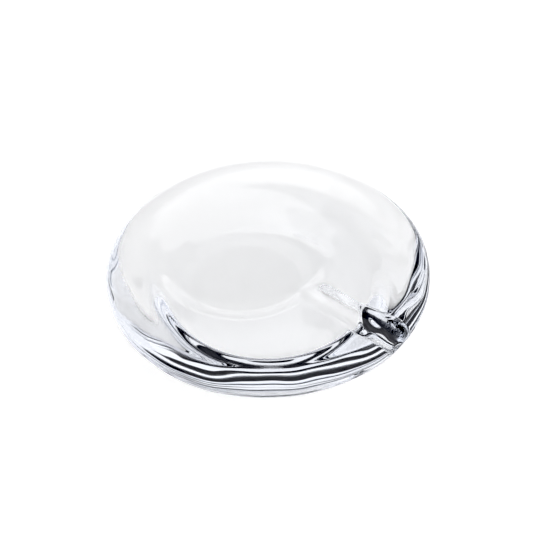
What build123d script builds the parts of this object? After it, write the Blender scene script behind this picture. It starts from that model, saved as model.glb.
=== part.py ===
from build123d import *
import math
import os

# A heavy round dish of clear glass, pressed in one piece. It stands on a foot ring on the XY plane
# with its axis on +Z. The groove runs out along +X, and the well stands off the axis towards -X.

# ---- Driving dimensions, in millimetres and degrees ----------------------------------
# Edge: half an ellipse lying on its side, with the crest on top and the widest circle outside
DISH_RADIUS = 75.0
CREST_HEIGHT = 25.0
EDGE_REACH = 9.5  # from the crest out to the widest circle
EDGE_RISE = 5.0  # from the widest circle up to the crest

# Ledge: the level top between the well and the crest
LEDGE_DROP = 2.7  # below the crest
CREST_WIDTH = 10.5  # over which the ledge climbs to the crest

# Underside: a straight flare down to a foot ring, with a shallow recess inside the ring
FOOT_INSET = 28.0  # from the widest circle in to the foot
FOOT_RING_WIDTH = 4.0
FOOT_EDGE_BLEND = 1.2
RECESS_DEPTH = 0.5
RECESS_WALL_ANGLE = 6.0

# Well: round, off the dish's axis, with a soft floor and a crisp lip
WELL_RADIUS = 43.4  # at the ledge
WELL_TO_CREST = 6.8  # from the lip to the crest, where they are nearest
WELL_DEPTH = 9.5  # below the ledge
WELL_WALL_ANGLE = 35.0
WELL_FLOOR_BLEND = 26.0
WELL_LIP_BLEND = 1.6

# Groove: a round-bottomed channel from the well out through the edge
GROOVE_RADIUS = 8.4
GROOVE_DEPTH = 5.0  # below the ledge
GROOVE_EDGE_BLEND = 1.5

# ---- Worked out from them ------------------------------------------------------------
crest_radius = DISH_RADIUS - EDGE_REACH
ledge_height = CREST_HEIGHT - LEDGE_DROP
edge_centre = Vector(crest_radius, CREST_HEIGHT - EDGE_RISE)
crest = Vector(crest_radius, CREST_HEIGHT)
ledge_end = Vector(crest_radius - CREST_WIDTH, ledge_height)

# the flare is the straight line from the foot's edge that touches the ellipse from below: in the
# ellipse's own measure the ellipse is a unit circle, and the line touches it at this angle
foot_edge = Vector(DISH_RADIUS - FOOT_INSET, 0)
foot_across = (foot_edge.X - edge_centre.X) / EDGE_REACH
foot_below = (foot_edge.Y - edge_centre.Y) / EDGE_RISE
foot_away = math.hypot(foot_across, foot_below)
touch_angle = math.degrees(math.atan2(foot_below, foot_across) + math.acos(1 / foot_away))
edge_sweep = 90 - touch_angle  # on up to the crest

recess_edge = foot_edge - Vector(FOOT_RING_WIDTH, 0)
recess_run = RECESS_DEPTH / math.tan(math.radians(RECESS_WALL_ANGLE))

# the well's wall is a cone, which is cut on upwards to clear the crest
well_offset = crest_radius - WELL_TO_CREST - WELL_RADIUS
over_the_crest = CREST_HEIGHT + EDGE_RISE
well_floor = ledge_height - WELL_DEPTH
wall_run = 1 / math.tan(math.radians(WELL_WALL_ANGLE))  # outwards for each millimetre up
well_floor_radius = WELL_RADIUS - WELL_DEPTH * wall_run
well_top_radius = WELL_RADIUS + (over_the_crest - ledge_height) * wall_run

groove_start = well_floor_radius - well_offset  # in the open, over the foot of the wall
groove_length = DISH_RADIUS + EDGE_RISE - groove_start
groove_axis_height = ledge_height - GROOVE_DEPTH + GROOVE_RADIUS

with BuildPart() as dish:
    # The blank: all that is round about the dish's own axis
    with BuildSketch(Plane.XZ):
        with BuildLine():
            recess = Line((0, RECESS_DEPTH), recess_edge + Vector(-recess_run, RECESS_DEPTH))
            recess_wall = Line(recess @ 1, recess_edge)
            ring = Line(recess_wall @ 1, foot_edge)
            edge = EllipticalCenterArc(edge_centre, EDGE_REACH, EDGE_RISE, touch_angle, arc_size=edge_sweep)
            Line(ring @ 1, edge @ 0)
            climb = Bezier(
                edge @ 1,
                crest - Vector(CREST_WIDTH / 3, 0),
                ledge_end + Vector(CREST_WIDTH / 3, 0),
                ledge_end,
            )
            ledge = Line(climb @ 1, (0, ledge_height))
            Line(ledge @ 1, recess @ 0)
        make_face()
    revolve(axis=Axis.Z)
    rings = dish.edges().filter_by(GeomType.CIRCLE)
    fillet(rings.filter_by(lambda edge: abs(edge.radius - foot_edge.X) < 1e-6), FOOT_EDGE_BLEND)

    # The well, turned about its own axis
    with BuildSketch(Plane.XZ) as well:
        with BuildLine():
            Polyline(
                (-well_offset, well_floor),
                (well_floor_radius - well_offset, well_floor),
                (well_top_radius - well_offset, over_the_crest),
                (-well_offset, over_the_crest),
                close=True,
            )
        make_face()
        fillet(well.vertices().group_by(Axis.Y)[0].sort_by(Axis.X)[-1], WELL_FLOOR_BLEND)
    revolve(axis=Axis((-well_offset, 0, 0), (0, 0, 1)), mode=Mode.SUBTRACT)
    lip = dish.edges(Select.LAST).filter_by(lambda edge: edge.center().Z > ledge_height - 1)
    fillet(lip, WELL_LIP_BLEND)

    # The groove
    with BuildSketch(Plane.YZ.offset(groove_start)):
        with BuildLine():
            channel = CenterArc((0, groove_axis_height), GROOVE_RADIUS, 180, 180)
            Polyline(
                channel @ 1,
                (GROOVE_RADIUS, over_the_crest),
                (-GROOVE_RADIUS, over_the_crest),
                channel @ 0,
            )
        make_face()
    extrude(amount=groove_length, mode=Mode.SUBTRACT)
    in_the_groove = dish.edges(Select.LAST).filter_by(
        lambda edge: abs(edge.center().Y) < GROOVE_RADIUS + GROOVE_EDGE_BLEND
    )
    banks = in_the_groove.filter_by(lambda edge: abs(edge.center().Y) > GROOVE_RADIUS / 4)
    fillet(banks, GROOVE_EDGE_BLEND)

dish.part.label = "dish"
os.makedirs("parts", exist_ok=True)
export_step(dish.part, "parts/dish.step")
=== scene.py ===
# %% [markdown]
# # A heavy glass dish, pressed in one piece
#
# The real object is a thick round dish of clear glass. Its edge is rounded like a pebble, a round well
# stands off its middle, and one groove runs out of the well and through the edge. This lesson models
# the dish, gives it the finish of clear pressed glass, and lights it as a studio would, on white.
#
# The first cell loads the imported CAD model. That model is the frame: it says how large the dish is and
# where it stands, so nothing here is fitted by eye.

# %% Load the frame
import math

import bpy
import numpy as np
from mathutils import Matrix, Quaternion, Vector


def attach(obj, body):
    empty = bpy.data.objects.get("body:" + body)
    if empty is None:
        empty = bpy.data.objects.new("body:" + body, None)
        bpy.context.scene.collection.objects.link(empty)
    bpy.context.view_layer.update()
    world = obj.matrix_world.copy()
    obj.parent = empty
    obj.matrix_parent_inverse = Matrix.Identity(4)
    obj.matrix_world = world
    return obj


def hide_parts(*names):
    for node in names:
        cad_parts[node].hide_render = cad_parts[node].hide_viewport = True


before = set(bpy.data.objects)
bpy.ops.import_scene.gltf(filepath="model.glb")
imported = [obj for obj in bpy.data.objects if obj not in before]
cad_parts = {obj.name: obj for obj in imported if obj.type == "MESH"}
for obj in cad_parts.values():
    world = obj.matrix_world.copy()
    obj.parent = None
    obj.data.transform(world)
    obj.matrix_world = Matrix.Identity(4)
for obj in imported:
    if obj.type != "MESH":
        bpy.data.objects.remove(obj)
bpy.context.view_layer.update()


# %% [markdown]
# ## The sizes of the dish
#
# A glass maker would give this dish as a handful of sizes: how wide it is, how high its crest stands,
# how the edge is rounded, and where the well and the groove are. They are in millimetres here, because
# a maker thinks in them, and one constant turns them to metres.

# %% Sizes, in millimetres
MM = 0.001
DISH_RADIUS = 75.0
CREST_HEIGHT = 25.0
EDGE_REACH = 9.5  # from the crest out to the widest line
EDGE_RISE = 5.0  # from the widest line up to the crest
LEDGE_DROP = 2.7  # below the crest
CREST_WIDTH = 10.5  # over which the ledge climbs to the crest
FLARE_BULGE = 0.4  # how far the flare swells out of a straight line
FOOT_RADIUS = 47.0
FOOT_RING_WIDTH = 4.0
RECESS_DEPTH = 0.5
WELL_SHIFT = 15.3  # the well's axis stands this far from the dish's, towards -X
WELL_RADIUS = 43.4
WELL_SLOPE = 35.0  # degrees, of its wall below the lip
WELL_DEPTH = 9.5
GROOVE_RADIUS = 8.4
GROOVE_DEPTH = 5.0  # below the ledge
GROOVE_BLEND = 2.0

crest_radius = DISH_RADIUS - EDGE_REACH
widest_height = CREST_HEIGHT - EDGE_RISE
ledge_height = CREST_HEIGHT - LEDGE_DROP
well_floor = ledge_height - WELL_DEPTH
print(f"crest at r {crest_radius:.1f}, widest at z {widest_height:.1f}, well floor at z {well_floor:.1f}")

# %% [markdown]
# ## The profile, ring by ring
#
# The dish is nearly a turned shape, but its well stands off the axis, so one spin can't give it. It is
# built as a potter coils a bowl: one ring of edges after another. Each ring has a radius, a height and
# a share of the well's shift, so the rings slide from the well's axis to the dish's as they cross the
# ledge. The first list goes from the well's floor up its wall to the lip.

# %% Rings of the well and the ledge
SEGMENTS = 144
LIP_ROUND = 0.5  # how far below the lip its rounding begins
well_rings = [  # share of the well's shift, radius, height
    (1, 15.0, well_floor + 0.1),
    (1, 25.0, well_floor + 0.7),
    (1, WELL_RADIUS - 12.85, well_floor + 2.0),
    (1, WELL_RADIUS - 7.8, well_floor + 4.8),
    (1, WELL_RADIUS - 3.8, well_floor + 7.7),
    (1, WELL_RADIUS - 1.3, ledge_height - LIP_ROUND),
    (1, WELL_RADIUS, ledge_height),
]
LEDGE_STEPS = 4
LEDGE_SHARE = 0.97  # of the well's shift, at the first ring outside the lip
ledge_start = WELL_RADIUS + 1.7
ledge_end = crest_radius - 1.2
ledge_rings = [
    (
        LEDGE_SHARE * (1 - step / LEDGE_STEPS),
        ledge_start + (ledge_end - ledge_start) * step / LEDGE_STEPS,
        ledge_height,
    )
    for step in range(LEDGE_STEPS + 1)
]
print(len(well_rings), "rings in the well and", len(ledge_rings), "across the ledge")

# %% [markdown]
# The edge is half an ellipse lying on its side, which is what fire-polishing leaves of a pressed
# corner. Below the widest line the ellipse runs into a straight flare, down to a foot ring with a
# shallow recess inside it, so that the dish stands on the ring alone.

# %% Rings of the edge, the flare and the foot
EDGE_STEPS = (84, 70, 56, 42, 28, 14, 0, -14, -28, -42)  # degrees round the ellipse


def edge_ring(degrees):
    """The ring at an angle round the ellipse, from its widest line upwards."""
    turn = math.radians(degrees)
    return (0, crest_radius + EDGE_REACH * math.cos(turn), widest_height + EDGE_RISE * math.sin(turn))


edge_rings = [edge_ring(degrees) for degrees in EDGE_STEPS]
flare_top = edge_rings[-1]
flare_rings = [
    (0, FOOT_RADIUS + (flare_top[1] - FOOT_RADIUS) * share + FLARE_BULGE, flare_top[2] * share)
    for share in (0.66, 0.33)
]
FOOT_EDGE = 0.67  # size of the foot's rounded corner
ring_inside = FOOT_RADIUS - FOOT_RING_WIDTH
foot_rings = [
    (0, FOOT_RADIUS + 0.6 * FOOT_EDGE, 0.3 * FOOT_EDGE),
    (0, FOOT_RADIUS - 1.2 * FOOT_EDGE, 0.0),
    (0, ring_inside, 0.0),
]
RECESS_WALL = ((2.0, 0.25), (5.0, 0.8), (8.0, 1.0), (ring_inside - 20.0, 1.0))  # inwards, share of depth
foot_rings += [(0, ring_inside - inwards, RECESS_DEPTH * share) for inwards, share in RECESS_WALL]
all_rings = well_rings + ledge_rings + edge_rings + flare_rings + foot_rings
print(len(all_rings), "rings from the well's floor to the recess")

# %% [markdown]
# ## Building the cage
#
# The first ring is a circle. Every further ring is an extrude of the one before it, resized about its
# own centre and moved up or down, all in edit mode. The two open ends are closed by extruding the last
# ring once more and merging it to a point. A short helper does one ring, because a hand would do the
# same three steps each time.

# %% A helper that adds the next ring


def next_ring(before, after):
    """Extrudes the selected ring, and gives the new one its radius, centre and height."""
    old_share, old_radius, old_height = before
    share, radius, height = after
    bpy.ops.mesh.extrude_region_move()
    bpy.ops.transform.resize(
        value=(radius / old_radius, radius / old_radius, 1),
        center_override=(-WELL_SHIFT * old_share * MM, 0, old_height * MM),
    )
    bpy.ops.transform.translate(
        value=((old_share - share) * WELL_SHIFT * MM, 0, (height - old_height) * MM)
    )


def close_end():
    """Closes the selected ring with a fan of faces that meet at its centre."""
    bpy.ops.mesh.extrude_region_move()
    bpy.ops.mesh.merge(type="CENTER")


# %% Raise the cage from the well's floor to the recess
bpy.ops.object.select_all(action="DESELECT")
first = all_rings[0]
bpy.ops.mesh.primitive_circle_add(
    vertices=SEGMENTS,
    radius=first[1] * MM,
    fill_type="NOTHING",
    location=(-WELL_SHIFT * MM, 0, first[2] * MM),
)
dish = bpy.context.object
dish.name = dish.data.name = "glass_dish"
bpy.ops.object.transform_apply(location=True, rotation=True, scale=True)
bpy.ops.object.mode_set(mode="EDIT")
bpy.ops.mesh.select_mode(type="EDGE")
bpy.ops.mesh.select_all(action="SELECT")
for before, after in zip(all_rings, all_rings[1:]):
    next_ring(before, after)
close_end()
bpy.ops.object.mode_set(mode="OBJECT")
print("cage before the floor is closed:", len(dish.data.vertices), "points")

# %% [markdown]
# The cage still has a hole in the well's floor, where the first ring was. It is the only open edge
# left, so it can be picked by what it is: edges with one face. It is closed the same way.

# %% Close the well's floor
bpy.ops.object.mode_set(mode="EDIT")
bpy.ops.mesh.select_all(action="DESELECT")
bpy.ops.mesh.select_non_manifold(extend=False, use_wire=False, use_multi_face=False, use_verts=False)
close_end()
bpy.ops.mesh.select_all(action="SELECT")
bpy.ops.mesh.remove_doubles(threshold=1e-6)
bpy.ops.mesh.normals_make_consistent(inside=False)
bpy.ops.object.mode_set(mode="OBJECT")
print("closed cage:", len(dish.data.vertices), "points,", len(dish.data.polygons), "faces")

# %% [markdown]
# ## The climb to the crest
#
# The rings of the ledge are still level. On the real dish the top climbs from the ledge to the crest,
# and where the well comes near the edge its wall runs on up to meet the climb, so the lip there is
# higher and a little further out. The climb depends on the distance from the dish's axis and not on
# the ring, so the points are moved in code, each by its place.

# %% Helpers that read, write and blend points


def read_points(piece):
    """The piece's points, in millimetres, one row each."""
    flat = np.empty(len(piece.data.vertices) * 3)
    piece.data.vertices.foreach_get("co", flat)
    return flat.reshape(-1, 3) / MM


def write_points(piece, points):
    """Puts the piece's points where the rows say, in millimetres."""
    piece.data.vertices.foreach_set("co", (points * MM).ravel())
    piece.data.update()


def ease(low, high, value):
    """0 below low, 1 above high, and a smooth step between them."""
    share = np.clip((value - low) / (high - low), 0, 1)
    return share * share * (3 - 2 * share)


cage = read_points(dish)
print("cage in millimetres:", cage.min(0).round(2), "to", cage.max(0).round(2))

# %% Find where the well's wall meets the climb


NEARLY = 1e-4  # millimetres
ROUNDS = 20  # after which the lip has stopped moving


def climb_at(reach):
    """How far the top has climbed above the ledge, at a distance from the dish's axis."""
    return LEDGE_DROP * ease(crest_radius - CREST_WIDTH, crest_radius, reach)


near_ledge = abs(cage[:, 2] - ledge_height + LIP_ROUND / 2) < LIP_ROUND / 2 + NEARLY
on_top = near_ledge & (np.hypot(cage[:, 0], cage[:, 1]) < crest_radius)
top = cage[on_top]
from_well = np.hypot(top[:, 0] + WELL_SHIFT, top[:, 1])
outward = np.stack([top[:, 0] + WELL_SHIFT, top[:, 1]], 1) / from_well[:, None]
run_on = np.zeros(len(top))
for _ in range(ROUNDS):
    lip = outward * (WELL_RADIUS + run_on)[:, None] - (WELL_SHIFT, 0)
    run_on = climb_at(np.hypot(*lip.T)) / math.tan(math.radians(WELL_SLOPE))
print(f"the lip runs out by up to {run_on.max():.2f} mm")

# %% Move the lip out and lift the ledge
NEAR_LIP = 5.0  # rings this close outside the lip move out with it
follows = 1 - ease(WELL_RADIUS, WELL_RADIUS + NEAR_LIP, from_well)
top[:, :2] += outward * (run_on * follows)[:, None]
top[:, 2] += climb_at(np.hypot(top[:, 0], top[:, 1]))
cage[on_top] = top
write_points(dish, cage)
print(on_top.sum(), "points lifted, the highest to", round(float(top[:, 2].max()), 2), "mm")

# %% [markdown]
# ## Softening it
#
# Pressed and fire-polished glass has no hard corner anywhere, and a lens of glass shows every facet,
# because light bends at each one. Two levels of Subdivision Surface give a surface that is smooth
# enough to refract cleanly. The modifier is applied, because the groove is pressed into the result.

# %% Subdivide the cage
SMOOTHING_LEVELS = 2
smoothing = dish.modifiers.new("soft_glass", "SUBSURF")
smoothing.levels = smoothing.render_levels = SMOOTHING_LEVELS
bpy.context.view_layer.objects.active = dish
bpy.ops.object.modifier_apply(modifier=smoothing.name)
print("after smoothing:", len(dish.data.polygons), "faces")

# %% [markdown]
# ## Pressing the groove
#
# The groove is a round-bottomed channel that a former would press into soft glass. A Boolean would cut
# it with a hard edge and break up the even faces, and the extrude tools can't sink a round channel
# into a curved edge. So the points themselves are lowered: each takes the lower of the dish and the
# channel, blended over a few millimetres, which is what a former does to soft glass.

# %% Read the smooth points, and a helper for the press


def blended_lower(first, second, width):
    """The lower of two heights, rounded where they cross."""
    share = np.clip(0.5 + 0.5 * (second - first) / width, 0, 1)
    return second * (1 - share) + first * share - width * share * (1 - share)


points = read_points(dish)
print("points in millimetres:", points.min(0).round(2), "to", points.max(0).round(2))

# %% Press the channel along +X
WALL_START = 0.96  # share of the groove's radius where its wall stops curving
WALL_SLOPE = 8.0
GROOVE_FROM, GROOVE_FULL = 14.0, 26.0  # it fades in down the well's wall
UPPER_FROM, UPPER_FULL = 8.0, 12.5  # heights over which the press takes hold, so the flare stays round
END_DRAW = 0.55  # how far the groove's outer end draws in, for each millimetre that it is sunk

x, y, z = points.T
across = np.abs(y)
wall = GROOVE_RADIUS * WALL_START
channel = ledge_height - GROOVE_DEPTH + GROOVE_RADIUS
channel = channel - np.sqrt(GROOVE_RADIUS**2 - np.minimum(across, wall) ** 2)
channel = channel + np.maximum(across - wall, 0) * WALL_SLOPE
pressed = blended_lower(z, channel, GROOVE_BLEND)
hold = ease(GROOVE_FROM, GROOVE_FULL, x) * ease(UPPER_FROM, UPPER_FULL, z)
sunk = (z - pressed) * hold
points[:, 2] = z - sunk
points[:, 0] = x - END_DRAW * sunk * ease(crest_radius, DISH_RADIUS, np.hypot(x, y))
on_bottom = (across < 1) & (x > GROOVE_FULL) & (z > UPPER_FULL)
print(f"groove bottom at z {points[on_bottom, 2].min():.2f} mm")

# %% [markdown]
# ## The hand of the fire
#
# Fire-polishing melts the skin of the edge, and it never sets quite true: it draws in by up to six
# tenths of a millimetre, in slow waves round the dish. Those waves are what breaks the dark edge lines of real
# glass into strokes. Every wave goes inward, so the dish keeps its outside size.

# %% Draw in the edge in slow waves
WAVE = 0.3  # millimetres
RIM_WAVES = ((5, 5.5, 1.0), (11, 0.3, 0.5), (23, 2.2, 0.25))  # how many round the dish, phase, share
CREST_WAVES = ((3, 0.6, 1.0), (5, 0.0, 0.6), (9, 1.0, 0.4))
WAVES_REACH = (54.0, 66.0)  # from the dish's axis, where they fade in
WAVES_HEIGHT = (2.0, 12.0)  # above the table, so the foot stays flat


def waves(parts, turn):
    """The sum of the waves at an angle round the dish, from 0 to 1."""
    total = sum(share * np.sin(count * turn + phase) for count, phase, share in parts)
    return (total / sum(share for _, _, share in parts) + 1) / 2


x, y, z = points.T
turn = np.arctan2(y, x)
reach = np.hypot(x, y)
on_edge = ease(*WAVES_REACH, reach) * ease(*WAVES_HEIGHT, z)
drawn_in = 2 * WAVE * waves(RIM_WAVES, turn) * on_edge
points[:, 2] = z - 2 * WAVE * waves(CREST_WAVES, turn) * on_edge
points[:, 0] = x - drawn_in * np.cos(turn)
points[:, 1] = y - drawn_in * np.sin(turn)
write_points(dish, points)
print("dish in millimetres:", points.min(0).round(2), "to", points.max(0).round(2))

# %% [markdown]
# The dish is shaded smooth all over, because it has no crease, and its normals are made to point
# outwards once more. It replaces the CAD node of the dish and rides on the root body.

# %% Finish the mesh and give it its place in the frame
bpy.ops.object.select_all(action="DESELECT")
dish.select_set(True)
bpy.context.view_layer.objects.active = dish
bpy.ops.object.mode_set(mode="EDIT")
bpy.ops.mesh.select_all(action="SELECT")
bpy.ops.mesh.normals_make_consistent(inside=False)
bpy.ops.object.mode_set(mode="OBJECT")
bpy.ops.object.shade_smooth()
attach(dish, "root")
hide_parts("dish")
print("finished piece:", dish.name, [round(float(side) / MM, 2) for side in dish.dimensions], "mm")

# %% [markdown]
# ## Clear soda-lime glass
#
# The dish is soda-lime glass, pressed and then fire-polished. Its index is 1.52, it has no grain, and
# a fire-polished skin is as smooth as glass gets, so the roughness is nearly nothing. Iron in the sand
# leaves the faintest cool tint, and it shows only where light travels a long way through the glass.
# A tint on the surface would darken every entry and exit, so the tint is in the volume.

# %% Colours and the helper for nodes


def srgb(hex_code):
    """A linear RGBA colour from an sRGB hex value."""
    channels = [int(hex_code[i : i + 2], 16) / 255 for i in (1, 3, 5)]
    linear = [c / 12.92 if c <= 0.04045 else ((c + 0.055) / 1.055) ** 2.4 for c in channels]
    return (*linear, 1.0)


def add_node(tree, kind, settings=None, links=None):
    """Adds a node, sets its properties and sockets, and links other nodes' outputs to its inputs."""
    node = tree.nodes.new(kind)
    for name, value in (settings or {}).items():
        if isinstance(name, str) and hasattr(node, name):
            setattr(node, name, value)
        else:
            node.inputs[name].default_value = value
    for socket, source in (links or {}).items():
        tree.links.new(source, node.inputs[socket])
    return node


print("example: mid grey is", [round(value, 3) for value in srgb("#808080")])

# %% The glass
GLASS_IOR = 1.52
POLISH = 0.0  # roughness of a fire-polished skin
IRON_TINT = srgb("#EEF1F8")
TINT_DENSITY = 6.0  # per metre

glass = bpy.data.materials.new("clear_soda_lime_glass")
glass.use_nodes = True
glass.node_tree.nodes.clear()
surface = add_node(
    glass.node_tree,
    "ShaderNodeBsdfPrincipled",
    {
        "Base Color": srgb("#FFFFFF"),
        "Roughness": POLISH,
        "IOR": GLASS_IOR,
        "Transmission Weight": 1.0,
    },
)
tint = add_node(
    glass.node_tree, "ShaderNodeVolumeAbsorption", {"Color": IRON_TINT, "Density": TINT_DENSITY}
)
add_node(
    glass.node_tree,
    "ShaderNodeOutputMaterial",
    links={"Surface": surface.outputs["BSDF"], "Volume": tint.outputs["Volume"]},
)
dish.data.materials.append(glass)
print("material:", glass.name, "on", dish.name)

# %% [markdown]
# ## The table
#
# The dish stands on a plain white sweep. Glass shows mostly what is behind it, so the white of the
# table is most of what is seen through the dish. The table gives off a little light of its own, as a
# lit tabletop of opal acrylic does, and that is what keeps the dish free of a hard shadow.

# %% A lit white table
TABLE_SIDE = 6.0  # metres
TABLE_GAP = 0.2  # millimetres under the foot, so that the two never share a plane
TABLE_GLOW = 0.49
bpy.ops.mesh.primitive_plane_add(size=TABLE_SIDE, location=(0, 0, -TABLE_GAP * MM))
table = bpy.context.object
table.name = table.data.name = "white_table"
bpy.ops.object.transform_apply(location=True, rotation=True, scale=True)
opal = bpy.data.materials.new("opal_acrylic_sheet")
opal.use_nodes = True
opal.node_tree.nodes.clear()
sheet = add_node(
    opal.node_tree,
    "ShaderNodeBsdfPrincipled",
    {
        "Base Color": srgb("#F3F3F3"),
        "Roughness": 1.0,
        "Emission Color": srgb("#FFFFFF"),
        "Emission Strength": TABLE_GLOW,
    },
)
add_node(opal.node_tree, "ShaderNodeOutputMaterial", links={"Surface": sheet.outputs["BSDF"]})
table.data.materials.append(opal)
print("table of", TABLE_SIDE, "m")

# %% [markdown]
# ## The light
#
# Clear glass in a white tent has no edges: everything it bends is white. A studio stands black
# flags outside the field of view, and the thick edge of the glass gathers them into dark lines. Here
# the tent and the flags are painted on the world, by direction. Each flag has a bearing round the
# dish, a half width in degrees, and a lower and upper edge given as the sine of its elevation.

# %% The flags
TENT = 1.1  # how bright the white cloth is
FLAG = srgb("#0D0D1A")  # black cloth
FLAGS = (  # bearing and half width in degrees, sines of the lower and upper edge
    (160, 80, 0.16, 0.82),
    (220, 40, 0.0, 0.78),
    (190, 15, -0.05, 0.5),
)
SOFT = 0.01  # half the width of a flag's edge

world = bpy.data.worlds.new("white_tent")
bpy.context.scene.world = world
world.use_nodes = True
tent = world.node_tree
tent.nodes.clear()
direction = add_node(tent, "ShaderNodeTexCoord").outputs["Generated"]
height = add_node(tent, "ShaderNodeSeparateXYZ", links={"Vector": direction}).outputs["Z"]
print(len(FLAGS), "flags")

# %% Paint each flag on the tent


def step_at(value, edge, falling=False):
    """A soft step of a value, from 0 to 1 at an edge, or from 1 to 0."""
    low, high = (edge + SOFT, edge - SOFT) if falling else (edge - SOFT, edge + SOFT)
    return add_node(
        tent,
        "ShaderNodeMapRange",
        {"interpolation_type": "SMOOTHSTEP", "From Min": low, "From Max": high},
        {"Value": value},
    ).outputs["Result"]


def product(first, second):
    """The product of two values."""
    return add_node(tent, "ShaderNodeMath", {"operation": "MULTIPLY"}, {0: first, 1: second}).outputs[0]


flat = add_node(tent, "ShaderNodeVectorMath", {"operation": "MULTIPLY", 1: (1, 1, 0)}, {0: direction})
level = add_node(tent, "ShaderNodeVectorMath", {"operation": "NORMALIZE"}, {0: flat.outputs[0]})


def patch(bearing, half_width, low, high):
    """1 inside a patch of the tent, and 0 outside it."""
    toward = (math.cos(math.radians(bearing)), math.sin(math.radians(bearing)), 0)
    facing = add_node(
        tent, "ShaderNodeVectorMath", {"operation": "DOT_PRODUCT", 1: toward}, {0: level.outputs[0]}
    ).outputs["Value"]
    beside = step_at(facing, math.cos(math.radians(half_width)))
    return product(beside, product(step_at(height, low), step_at(height, high, falling=True)))


WHITE = (TENT, TENT, TENT, 1)
lit = None
for flag in FLAGS:
    inside = {0: patch(*flag)}
    if lit:
        inside[6] = lit
    cloth = add_node(tent, "ShaderNodeMix", {"data_type": "RGBA", 6: WHITE, 7: FLAG}, inside)
    lit = cloth.outputs[2]
print("tent nodes:", len(tent.nodes))

# %% [markdown]
# The flags stand out of sight, wherever the dish is looked at from. So what is seen past the dish is
# the plain white tent, and only light that the glass or the table sends on meets the flags.

# %% Close the tent
seen = add_node(tent, "ShaderNodeLightPath").outputs["Is Camera Ray"]
shown = add_node(tent, "ShaderNodeMix", {"data_type": "RGBA", 7: WHITE}, {0: seen, 6: lit})
sky = add_node(tent, "ShaderNodeBackground", links={"Color": shown.outputs[2]})
add_node(tent, "ShaderNodeOutputWorld", links={"Surface": sky.outputs["Background"]})
print("the tent is lit at", TENT)

# %% [markdown]
# ## The camera
#
# The camera looks down on the dish at about half a right angle, from the side that the groove points
# to. A long lens keeps the ellipse of the rim nearly true. The distance is worked out from how wide
# the dish is to stand in the frame.

# %% Camera
LENS, SENSOR = 100.0, 36.0
BEARING, ELEVATION, ROLL = 40.0, 46.3, 1.5  # degrees
SHIFT = (-0.003, 0.0065)  # of the frame's width
FRAME_SHARE = 0.61  # of the frame's width that the dish takes
PRINT_GAMMA = 0.82  # a little more contrast in the greys, as a studio prints glass
PRINT_BLACK = 0.05  # and this much light is printed as black
distance = 2 * DISH_RADIUS * MM / FRAME_SHARE * LENS / SENSOR
turn, rise = math.radians(BEARING), math.radians(ELEVATION)
look_from = Vector((math.sin(turn) * math.cos(rise), -math.cos(turn) * math.cos(rise), math.sin(rise)))
aim = Vector((0, 0, widest_height * MM))

lens = bpy.data.cameras.new("studio_camera")
lens.lens, lens.sensor_width = LENS, SENSOR
lens.shift_x, lens.shift_y = SHIFT
lens.clip_start, lens.clip_end = 0.01, 50
camera = bpy.data.objects.new("studio_camera", lens)
bpy.context.scene.collection.objects.link(camera)
camera.location = aim + look_from * distance
level_camera = look_from.to_track_quat("Z", "Y")
camera.rotation_euler = (level_camera @ Quaternion((0, 0, 1), -math.radians(ROLL))).to_euler()
bpy.context.scene.camera = camera
prints = bpy.context.scene.view_settings
prints.view_transform = "Standard"
prints.gamma = PRINT_GAMMA
prints.use_curve_mapping = True
prints.curve_mapping.black_level = (PRINT_BLACK,) * 3
print(f"camera {distance:.3f} m away")

# %% [markdown]
# A ray crosses this glass many times before it gets out, so it needs more bounces than the default.

# %% Bounces
BOUNCES = 24
scene = bpy.context.scene
scene.cycles.max_bounces = scene.cycles.transmission_bounces = BOUNCES
scene.cycles.glossy_bounces = BOUNCES // 2
